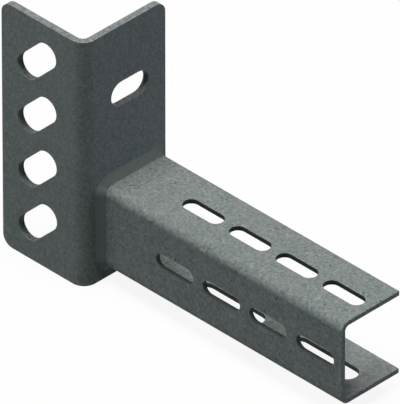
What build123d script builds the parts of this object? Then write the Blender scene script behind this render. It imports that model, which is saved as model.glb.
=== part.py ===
"""Cantilever strut arm: a slotted channel arm, welded to a slotted angle that sits on a strut's corner.

The origin is on the angle's strut-side face, level with the arm's middle and in the middle of its width.
+X runs along the arm to its free end, +Y towards the open side of the channel, +Z up.
"""
import os

from build123d import *

# Mounting angle, folded from sheet. Its side leg runs along X. Its seat leg runs along Y and carries the arm.
angle_height = 113.0
side_leg_width = 44.0
seat_leg_width = 44.0
angle_thickness = 3.0
angle_bend_inner_radius = 3.0
angle_corner_radius = 5.0

# Column of tilted slots up the side leg. They rise towards the arm, and as many as fit are centred on the leg's
# height. The least end margin is from the leg's end to the nearest slot's centre.
side_slot_length = 25.0
side_slot_width = 11.0
side_slot_pitch = 25.0
side_slot_tilt = 45.0
side_slot_edge_margin = 19.0
side_slot_least_end_margin = 16.0

# One level slot in the seat leg, above the arm and half a pitch below the top side slot.
seat_slot_length = 20.0
seat_slot_width = 11.0
seat_slot_edge_margin = 19.0

# Channel arm, folded from sheet. Its web is on the -Y side and its flanges point to +Y.
arm_length = 129.0
arm_height = 38.0
arm_width = 31.0
arm_thickness = 2.0
arm_bend_inner_radius = 2.0
arm_underside_margin = 6.5
arm_tip_margin = 4.0

# Row of small slots along the top flange, and the same row along the web. Each row starts at the arm's free end
# and has as many slots as fit before the plain stretch that is left at the weld.
row_slot_length = 20.0
row_slot_width = 7.0
row_slot_pitch = 25.0
row_slot_end_margin = 14.0

# Row of long slots along the bottom flange, which starts at the free end too.
under_slot_length = 35.0
under_slot_width = 9.0
under_slot_pitch = 50.0
under_slot_end_margin = 25.0

# Least plain stretch from the seat leg's face to the nearest slot in the arm.
arm_plain_root = 20.0

# Fillet weld round the outside of the arm where it stands on the seat leg.
weld_leg = 3.0

# A cutter stands this far out of both faces of the sheet that it cuts.
cutter_overrun = 1.0

# Places that follow from the sizes above. The strut-side face of the seat leg is at X = 0.
seat_outer_x = angle_thickness
side_free_edge_x = seat_outer_x - side_leg_width
arm_end_x = seat_outer_x + arm_length
tip_y = arm_width / 2
web_outer_y = -arm_width / 2
seat_free_edge_y = tip_y + arm_tip_margin
side_outer_y = seat_free_edge_y - seat_leg_width
arm_top_z = arm_height / 2
arm_bottom_z = -arm_height / 2
angle_bottom_z = arm_bottom_z - arm_underside_margin
angle_bend_outer_radius = angle_bend_inner_radius + angle_thickness
arm_bend_outer_radius = arm_bend_inner_radius + arm_thickness


def slots_that_fit(room, pitch):
    """How many slots stand at this pitch when their centres may be this far apart from first to last."""
    return int(room / pitch) + 1


def slot_cutter(place, length, width, sheet):
    """A round-ended bar that cuts one slot, with its length along the place's own X axis."""
    outline = place * SlotOverall(length, width)
    return extrude(outline, amount=sheet / 2 + cutter_overrun, dir=place.z_dir, both=True)


def angle_outline(side_width, seat_width, bend_radius):
    """A rectangle towards -X and +Y whose corner at the origin is rounded for the bend."""
    outline = Rectangle(side_width, seat_width, align=(Align.MAX, Align.MIN))
    bend = outline.vertices().sort_by_distance((0, 0, 0))[0]
    return fillet(bend, bend_radius)


def channel_outline(width, height, bend_radius):
    """A rectangle whose two corners on the web side are rounded for the bends."""
    outline = Rectangle(width, height, align=(Align.MIN, Align.CENTER))
    bends = outline.vertices().group_by(Axis.X)[0]
    return fillet(bends, bend_radius)


def make_mounting_angle():
    """The folded angle with its free corners rounded, its column of tilted slots and one level slot."""
    outside = angle_outline(side_leg_width, seat_leg_width, angle_bend_outer_radius)
    inside = angle_outline(side_leg_width, seat_leg_width, angle_bend_inner_radius)
    profile = outside - Pos(-angle_thickness, angle_thickness) * inside
    angle = Pos(seat_outer_x, side_outer_y, angle_bottom_z) * extrude(profile, amount=angle_height)

    side_corners = angle.edges().filter_by(Axis.Y).group_by(Axis.X)[0]
    seat_corners = angle.edges().filter_by(Axis.X).group_by(Axis.Y)[-1]
    angle = fillet(side_corners + seat_corners, angle_corner_radius)

    rising = Vector(1, 0, 0).rotate(Axis.Y, -side_slot_tilt)
    side_slot_x = side_free_edge_x + side_slot_edge_margin
    side_sheet_y = side_outer_y + angle_thickness / 2
    side_slot_count = slots_that_fit(angle_height - 2 * side_slot_least_end_margin, side_slot_pitch)
    top_side_slot_z = angle_bottom_z + (angle_height + (side_slot_count - 1) * side_slot_pitch) / 2
    for number in range(side_slot_count):
        centre = (side_slot_x, side_sheet_y, top_side_slot_z - number * side_slot_pitch)
        in_side_leg = Plane(origin=centre, x_dir=rising, z_dir=(0, -1, 0))
        angle -= slot_cutter(in_side_leg, side_slot_length, side_slot_width, angle_thickness)

    seat_slot_y = seat_free_edge_y - seat_slot_edge_margin
    centre = (angle_thickness / 2, seat_slot_y, top_side_slot_z - side_slot_pitch / 2)
    in_seat_leg = Plane(origin=centre, x_dir=(0, 1, 0), z_dir=(1, 0, 0))
    angle -= slot_cutter(in_seat_leg, seat_slot_length, seat_slot_width, angle_thickness)
    return angle


def make_channel_arm():
    """The folded channel with its rows of slots in the top flange, the web and the bottom flange."""
    outside = channel_outline(arm_width, arm_height, arm_bend_outer_radius)
    inside = channel_outline(arm_width, arm_height - 2 * arm_thickness, arm_bend_inner_radius)
    profile = Pos(web_outer_y, 0) * (outside - Pos(arm_thickness, 0) * inside)
    arm = extrude(Plane.YZ.offset(seat_outer_x) * profile, amount=arm_length)

    top_sheet_z = arm_top_z - arm_thickness / 2
    web_sheet_y = web_outer_y + arm_thickness / 2
    row_room = arm_length - arm_plain_root - row_slot_length / 2 - row_slot_end_margin
    for number in range(slots_that_fit(row_room, row_slot_pitch)):
        slot_x = arm_end_x - row_slot_end_margin - number * row_slot_pitch
        in_flange = Plane(origin=(slot_x, 0, top_sheet_z), x_dir=(1, 0, 0), z_dir=(0, 0, 1))
        in_web = Plane(origin=(slot_x, web_sheet_y, 0), x_dir=(1, 0, 0), z_dir=(0, -1, 0))
        arm -= slot_cutter(in_flange, row_slot_length, row_slot_width, arm_thickness)
        arm -= slot_cutter(in_web, row_slot_length, row_slot_width, arm_thickness)

    bottom_sheet_z = arm_bottom_z + arm_thickness / 2
    under_room = arm_length - arm_plain_root - under_slot_length / 2 - under_slot_end_margin
    for number in range(slots_that_fit(under_room, under_slot_pitch)):
        slot_x = arm_end_x - under_slot_end_margin - number * under_slot_pitch
        in_bottom = Plane(origin=(slot_x, 0, bottom_sheet_z), x_dir=(1, 0, 0), z_dir=(0, 0, 1))
        arm -= slot_cutter(in_bottom, under_slot_length, under_slot_width, arm_thickness)
    return arm


def make_weld_bead():
    """A bead of triangular section on the seat leg, from one flange tip round the web to the other."""
    route = FilletPolyline(
        (seat_outer_x, tip_y, arm_top_z),
        (seat_outer_x, web_outer_y, arm_top_z),
        (seat_outer_x, web_outer_y, arm_bottom_z),
        (seat_outer_x, tip_y, arm_bottom_z),
        radius=arm_bend_outer_radius,
    )
    section = make_face(
        Polyline(
            (seat_outer_x, tip_y, arm_top_z),
            (seat_outer_x + weld_leg, tip_y, arm_top_z),
            (seat_outer_x, tip_y, arm_top_z + weld_leg),
            close=True,
        )
    )
    return sweep(section, path=route)


sub_parts = {
    "mounting_angle": make_mounting_angle(),
    "channel_arm": make_channel_arm(),
    "weld_bead": make_weld_bead(),
}

os.makedirs("parts", exist_ok=True)
for name, shape in sub_parts.items():
    export_step(shape, f"parts/{name}.step")
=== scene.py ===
"""Looks of the cantilever strut arm: galvanised sheet, a dressed weld, a pale floor and soft studio light."""
import math

import bpy
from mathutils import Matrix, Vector


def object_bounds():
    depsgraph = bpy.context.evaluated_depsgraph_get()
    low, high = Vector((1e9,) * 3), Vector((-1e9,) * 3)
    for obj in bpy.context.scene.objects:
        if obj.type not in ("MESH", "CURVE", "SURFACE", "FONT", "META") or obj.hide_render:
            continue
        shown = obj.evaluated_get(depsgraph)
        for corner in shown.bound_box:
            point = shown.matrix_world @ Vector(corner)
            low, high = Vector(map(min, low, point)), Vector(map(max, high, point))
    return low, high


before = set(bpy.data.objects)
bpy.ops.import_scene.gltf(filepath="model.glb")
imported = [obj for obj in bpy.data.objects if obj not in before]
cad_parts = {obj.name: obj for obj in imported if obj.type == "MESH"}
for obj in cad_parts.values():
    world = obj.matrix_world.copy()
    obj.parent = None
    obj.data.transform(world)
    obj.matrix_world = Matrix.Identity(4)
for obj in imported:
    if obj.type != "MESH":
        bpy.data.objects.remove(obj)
cad_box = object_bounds()

MM = 0.001

# Camera at the photograph's viewing angle, with a long lens because the photograph has no perspective.
# Angles here and below are in degrees.
VIEW_AZIMUTH = 45.0
VIEW_ELEVATION = 35.264
LENS_HALF_ANGLE = 0.65
SENSOR_WIDTH = 36.0
CAMERA_RIGHT = 29.077 * MM
CAMERA_UP = 1.567 * MM
CAMERA_DISTANCE = 6798.0 * MM
CLIP_NEAR = 1.0
CLIP_FAR = 30.0

# Sizes of what shows in the zinc coat, and the depth of its relief.
CLOUD_SIZE = 9.0 * MM
TINT_SIZE = 6.0 * MM
SPANGLE_SIZE = 1.1 * MM
FLECK_SIZE = 1.35 * MM
GRIT_SIZE = 0.75 * MM
CREASE_BEND = 3.0 * MM
CREASE_PATCH = 3.4 * MM
RELIEF_DEPTH = 0.1 * MM

# How much of the coat's mottle each of them makes.
CLOUD_SHARE = 0.3
SPANGLE_SHARE = 0.35
FLECK_SHARE = 0.45
GRIT_SHARE = 0.42

# How much of the coat's relief the flecks and the grit make.
FLECK_RELIEF = 0.3
GRIT_RELIEF = 0.15

# Where each noise starts to count, and where it counts in full.
FLECK_RANGE = (0.36, 0.64)
GRIT_RANGE = (0.30, 0.70)
CREASE_PATCH_RANGE = (0.50, 0.58)
TINT_RANGE = (0.40, 0.60)

# A face starts to face an axis at the first of these parts of its normal, and does so in full at the second.
FACING_START = 0.4
FACING_FULL = 0.6

# A crease is painted as a dark line of shade beside a light line of highlight, with these places and widths
# on the slope of its noise.
CREASE_OFFSET = 0.022
CREASE_EDGE = 0.026
CREASE_CORE = 0.010

COAT_METALLIC = 0.05
COAT_SPECULAR = 0.05
COAT_ROUGHNESS = 0.66
SPANGLE_POLISH = 0.12

# The floor's bounce and the room's colour light the object. The camera sees the floor's white and glow.
FLOOR_SIZE = 12.0
FLOOR_BOUNCE = 0.08
FLOOR_WHITE = 0.98
FLOOR_GLOW = 0.9
ROOM_COLOUR = (0.8, 0.95, 1.3, 1.0)
ROOM_STRENGTH = 0.012
WHITE = (1.0, 1.0, 1.0, 1.0)

# Each soft lamp's azimuth and elevation, the side of its square in metres, its watts and its colour.
LAMP_DISTANCE = 2.0
LAMPS = {
    "key_lamp": (0, 84, 0.9, 38.5, (1.04, 1.0, 0.97)),
    "front_lamp": (326, 10, 1.5, 10.5, (0.95, 1.0, 1.05)),
    "side_lamp": (130, 10, 1.2, 6.7, (0.96, 1.0, 1.3)),
    "back_lamp": (235, 10, 1.5, 5.0, (0.95, 1.0, 1.05)),
}

# Each strip lamp's middle along the arm, its length and its watts. They share the rest.
STRIP_Y = 39.0 * MM
STRIP_Z = 13.0 * MM
STRIP_HEIGHT = 8.0 * MM
STRIP_SPREAD = 45.0
STRIP_AZIMUTH = 180.0
STRIP_ELEVATION = 50.0
STRIP_COLOUR = (1.06, 1.0, 0.96)
STRIPS = {
    "strip_lamp": (67 * MM, 124 * MM, 0.0045),
    "root_strip_lamp": (23 * MM, 30 * MM, 0.001),
    "end_strip_lamp": (116 * MM, 30 * MM, 0.0005),
}


class Socket:
    """A node's output that plain arithmetic can be done with."""

    def __init__(self, shader, output):
        self.shader = shader
        self.output = output

    def __add__(self, other):
        return self.shader.maths("ADD", self, other)

    def __sub__(self, other):
        return self.shader.maths("SUBTRACT", self, other)

    def __rsub__(self, other):
        return self.shader.maths("SUBTRACT", other, self)

    def __mul__(self, other):
        return self.shader.maths("MULTIPLY", self, other)

    def __abs__(self):
        return self.shader.maths("ABSOLUTE", self)

    __radd__ = __add__
    __rmul__ = __mul__

    def between(self, low, high):
        """0 up to low, 1 from high on, with a smooth rise. It falls where high is the lower of the two."""
        settings = {"interpolation_type": "SMOOTHSTEP"}
        inputs = {"Value": self, "From Min": low, "From Max": high}
        return self.shader.node("ShaderNodeMapRange", settings, inputs)


class Shader:
    """The node tree of one material or world."""

    def __init__(self, owner):
        owner.use_nodes = True
        self.owner = owner
        self.tree = owner.node_tree
        self.tree.nodes.clear()

    def node(self, kind, settings, inputs, output=0):
        """Adds a node, its settings first, then the values or links of its sockets. Returns one output."""
        made = self.tree.nodes.new(kind)
        for name, setting in settings.items():
            setattr(made, name, setting)
        for name, value in inputs.items():
            if isinstance(value, Socket):
                self.tree.links.new(value.output, made.inputs[name])
            else:
                made.inputs[name].default_value = value
        return Socket(self, made.outputs[output]) if made.outputs else None

    def maths(self, operation, *values):
        return self.node("ShaderNodeMath", {"operation": operation}, dict(enumerate(values)))

    def coordinate(self, kind):
        return self.node("ShaderNodeTexCoord", {}, {}, output=kind)

    def axis(self, vector, name):
        return self.node("ShaderNodeSeparateXYZ", {}, {"Vector": vector}, output=name)

    def noise(self, place, size, detail=1.0):
        return self.node("ShaderNodeTexNoise", {}, {"Vector": place, "Scale": 1 / size, "Detail": detail})

    def crystals(self, place, size):
        """A grey for each cell of a pattern of small cells."""
        cells = self.node("ShaderNodeTexVoronoi", {}, {"Vector": place, "Scale": 1 / size}, output="Color")
        return self.node("ShaderNodeSeparateColor", {}, {"Color": cells})

    def blend(self, share, first, second):
        """A colour between the first and the second, or past them where the share is under 0 or over 1."""
        settings = {"data_type": "RGBA", "clamp_factor": False}
        return self.node("ShaderNodeMix", settings, {0: share, 6: first, 7: second}, output=2)


def linear(red, green, blue):
    """A colour given in the usual 0 to 255 steps, as the linear colour that a shader takes."""
    shares = [channel / 255 for channel in (red, green, blue)]
    return (*[s / 12.92 if s <= 0.04045 else ((s + 0.055) / 1.055) ** 2.4 for s in shares], 1.0)


def painted_tone_share(shader, place, facing, bands):
    """The share of painted tone on each face: painted shade on the sheet, painted light on the weld.

    That is a band's share inside the band, except on faces that face the band's axis. A band is that axis,
    the share, and its middle and half width in mm along the axes that bound it.
    """
    painted_tone = 0.0
    for across, share, reach in bands:
        inside = share * abs(shader.axis(facing, across)).between(FACING_FULL, FACING_START)
        for axis, (middle, half) in reach.items():
            inside = inside * shader.maths("COMPARE", shader.axis(place, axis), middle * MM, half * MM)
        painted_tone = inside + painted_tone
    return painted_tone


def zinc(name, colours, bands, contrast, top_contrast, painted_crease_share, relief):
    """Galvanised steel: a fine mottle of small crystals and flecks, with a few short creases painted as shade
    and highlight.
    """
    shader = Shader(bpy.data.materials.new(name))
    place = shader.coordinate("Object")
    facing = shader.coordinate("Normal")
    cloud = shader.noise(place, CLOUD_SIZE)
    spangle = shader.crystals(place, SPANGLE_SIZE)
    flecks = shader.noise(place, FLECK_SIZE, detail=2.0).between(*FLECK_RANGE)
    grit = shader.noise(place, GRIT_SIZE).between(*GRIT_RANGE)

    # Each crease is painted shade on one side and a painted highlight on the other, as if a small ridge were
    # lit from one side.
    winding = shader.noise(place, CREASE_BEND) - 0.5
    crease_shade = abs(winding + CREASE_OFFSET).between(CREASE_EDGE, CREASE_CORE)
    crease_highlight = abs(winding - CREASE_OFFSET).between(CREASE_EDGE, CREASE_CORE)
    patches = shader.noise(place, CREASE_PATCH, detail=0.0).between(*CREASE_PATCH_RANGE)
    painted_creases = (crease_shade - crease_highlight) * patches

    mottle = CLOUD_SHARE * (cloud - 0.5) + SPANGLE_SHARE * (spangle - 0.5)
    mottle = mottle + FLECK_SHARE * (flecks - 0.5) + GRIT_SHARE * (grit - 0.5)
    upward = abs(shader.axis(facing, "Z")).between(FACING_START, FACING_FULL)
    tone = 0.5 + (contrast + (top_contrast - contrast) * upward) * mottle - painted_crease_share * painted_creases
    green = shader.blend(tone, *colours["green"])
    grey = shader.blend(tone, *colours["grey"])
    coat = shader.blend(shader.noise(place, TINT_SIZE).between(*TINT_RANGE), green, grey)
    # Painted shade in the walls of the slots and painted light down the weld's web, on faces that don't face
    # a band's axis.
    coat = shader.blend(painted_tone_share(shader, place, facing, bands), coat, colours["painted_tone"])

    height = FLECK_RELIEF * flecks + GRIT_RELIEF * grit
    bump = shader.node("ShaderNodeBump", {}, {"Strength": relief, "Distance": RELIEF_DEPTH, "Height": height})
    surface = shader.node("ShaderNodeBsdfPrincipled", {}, {
        "Base Color": coat,
        "Metallic": COAT_METALLIC,
        "Specular IOR Level": COAT_SPECULAR,
        "Roughness": COAT_ROUGHNESS - SPANGLE_POLISH * spangle,
        "Normal": bump,
    })
    shader.node("ShaderNodeOutputMaterial", {}, {"Surface": surface})
    return shader.owner


# The coat's dark and light in its green tone, the same in its grey tone, and its painted tone: painted shade
# for the sheet, painted light for the weld.
SHEET = {
    "green": (linear(110, 120, 119), linear(142, 152, 151)),
    "grey": (linear(112, 120, 119), linear(144, 152, 150)),
    "painted_tone": linear(65, 71, 71),
}
WELD = {
    "green": (linear(88, 97, 94), linear(108, 117, 114)),
    "grey": (linear(89, 97, 93), linear(109, 117, 113)),
    "painted_tone": linear(120, 131, 132),
}

# Painted shade darkens the walls of the slots, and painted light makes the weld lighter down the web than
# along the top.
# Painted shade: the slot walls of each sheet take the sheet's darker painted tone.
ANGLE_SLOT_SHADE = (
    ("Y", 0.3, {"X": (-22, 10), "Z": (31, 55)}),
    ("X", 0.3, {"Y": (0.5, 11), "Z": (56, 6)}),
)
ARM_SLOT_SHADE = (
    ("Z", 0.9, {"X": (81, 49), "Y": (0, 4.6), "Z": (18, 2)}),
    ("Z", 0.2, {"X": (81, 49), "Y": (0, 5.6), "Z": (-18, 2)}),
    ("Y", 0.8, {"X": (81, 49), "Z": (0, 3.6)}),
)
# Painted light: the weld's run down the web takes the weld's lighter painted tone.
WELD_WEB_LIGHT = (("Z", 1.0, {"X": (5, 4), "Y": (-14, 8)}),)


def angle_coat():
    looks = {"contrast": 0.8, "top_contrast": 1.5, "painted_crease_share": 0.2, "relief": 0.2}
    return zinc("galvanised_angle", SHEET, ANGLE_SLOT_SHADE, **looks)


def arm_coat():
    looks = {"contrast": 1.0, "top_contrast": 1.0, "painted_crease_share": 0.6, "relief": 0.25}
    return zinc("galvanised_arm", SHEET, ARM_SLOT_SHADE, **looks)


def weld_coat():
    looks = {"contrast": 0.4, "top_contrast": 0.4, "painted_crease_share": 0.0, "relief": 0.1}
    return zinc("galvanised_weld", WELD, WELD_WEB_LIGHT, **looks)


def paint(node, material):
    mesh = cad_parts[node].data
    mesh.materials.clear()
    mesh.materials.append(material)


def looking_back(azimuth, elevation):
    """Unit vectors towards the viewer, to the viewer's right, and up in the viewer's picture."""
    a, e = math.radians(azimuth), math.radians(elevation)
    back = Vector((math.sin(a) * math.cos(e), -math.cos(a) * math.cos(e), math.sin(e)))
    right = Vector((math.cos(a), math.sin(a), 0.0))
    return back, right, back.cross(right)


def place_facing(name, data, place, back):
    made = bpy.data.objects.new(name, data)
    made.location = place
    made.rotation_euler = back.to_track_quat("Z", "Y").to_euler()
    bpy.context.scene.collection.objects.link(made)
    return made


def add_camera():
    data = bpy.data.cameras.new("camera")
    data.sensor_width = SENSOR_WIDTH
    data.lens = SENSOR_WIDTH / 2 / math.tan(math.radians(LENS_HALF_ANGLE))
    data.clip_start = CLIP_NEAR
    data.clip_end = CLIP_FAR
    back, right, up = looking_back(VIEW_AZIMUTH, VIEW_ELEVATION)
    place = right * CAMERA_RIGHT + up * CAMERA_UP + back * CAMERA_DISTANCE
    bpy.context.scene.camera = place_facing("camera", data, place, back)


def add_lamp(name, azimuth, elevation, size, power, colour):
    """A square soft lamp that looks at the middle of the object, unseen by the camera."""
    data = bpy.data.lights.new(name, "AREA")
    data.size = size
    data.energy = power
    data.color = colour
    back, _, _ = looking_back(azimuth, elevation)
    middle = (cad_box[0] + cad_box[1]) / 2
    lamp = place_facing(name, data, middle + back * LAMP_DISTANCE, back)
    lamp.visible_camera = False


def add_strip_lamp(name, x, length, power):
    """A narrow lamp beside the arm's open side that lights its bottom flange, unseen by the camera."""
    data = bpy.data.lights.new(name, "AREA")
    data.shape = "RECTANGLE"
    data.size = length
    data.size_y = STRIP_HEIGHT
    data.spread = math.radians(STRIP_SPREAD)
    data.color = STRIP_COLOUR
    data.energy = power
    back, _, _ = looking_back(STRIP_AZIMUTH, STRIP_ELEVATION)
    lamp = place_facing(name, data, Vector((x, STRIP_Y, STRIP_Z)), back)
    lamp.visible_camera = False


def seen_directly(shader):
    """1 for what the camera sees, also in a gloss or through glass, and 0 for light on other things."""
    seen = 0.0
    for ray in ("Is Camera Ray", "Is Glossy Ray", "Is Transmission Ray"):
        seen = shader.maths("MAXIMUM", shader.node("ShaderNodeLightPath", {}, {}, output=ray), seen)
    return seen


def add_floor():
    """A floor that looks white, with a faint shadow, and throws little light back on the object."""
    shader = Shader(bpy.data.materials.new("pale_floor"))
    seen = seen_directly(shader)
    glow = shader.node("ShaderNodeEmission", {}, {"Color": WHITE, "Strength": 1.0})
    dark, pale = ((grey, grey, grey, 1.0) for grey in (FLOOR_BOUNCE, FLOOR_WHITE))
    paper = shader.node("ShaderNodeBsdfDiffuse", {}, {"Color": shader.blend(seen, dark, pale)})
    mixed = shader.node("ShaderNodeMixShader", {}, {0: FLOOR_GLOW * seen, 1: paper, 2: glow})
    shader.node("ShaderNodeOutputMaterial", {}, {"Surface": mixed})

    bpy.ops.mesh.primitive_plane_add(size=FLOOR_SIZE, location=(0, 0, cad_box[0].z))
    floor = bpy.context.object
    floor.name = "floor"
    floor.data.materials.append(shader.owner)


def add_world():
    shader = Shader(bpy.data.worlds.new("studio"))
    room = shader.node("ShaderNodeBackground", {}, {"Color": ROOM_COLOUR, "Strength": ROOM_STRENGTH})
    white = shader.node("ShaderNodeBackground", {}, {"Color": WHITE, "Strength": 1.0})
    mixed = shader.node("ShaderNodeMixShader", {}, {0: seen_directly(shader), 1: room, 2: white})
    shader.node("ShaderNodeOutputWorld", {}, {"Surface": mixed})
    bpy.context.scene.world = shader.owner


paint("mounting_angle", angle_coat())
paint("channel_arm", arm_coat())
paint("weld_bead", weld_coat())
add_camera()
add_floor()
add_world()
for lamp, settings in LAMPS.items():
    add_lamp(lamp, *settings)
for lamp, settings in STRIPS.items():
    add_strip_lamp(lamp, *settings)

bpy.context.scene.view_settings.view_transform = "Standard"
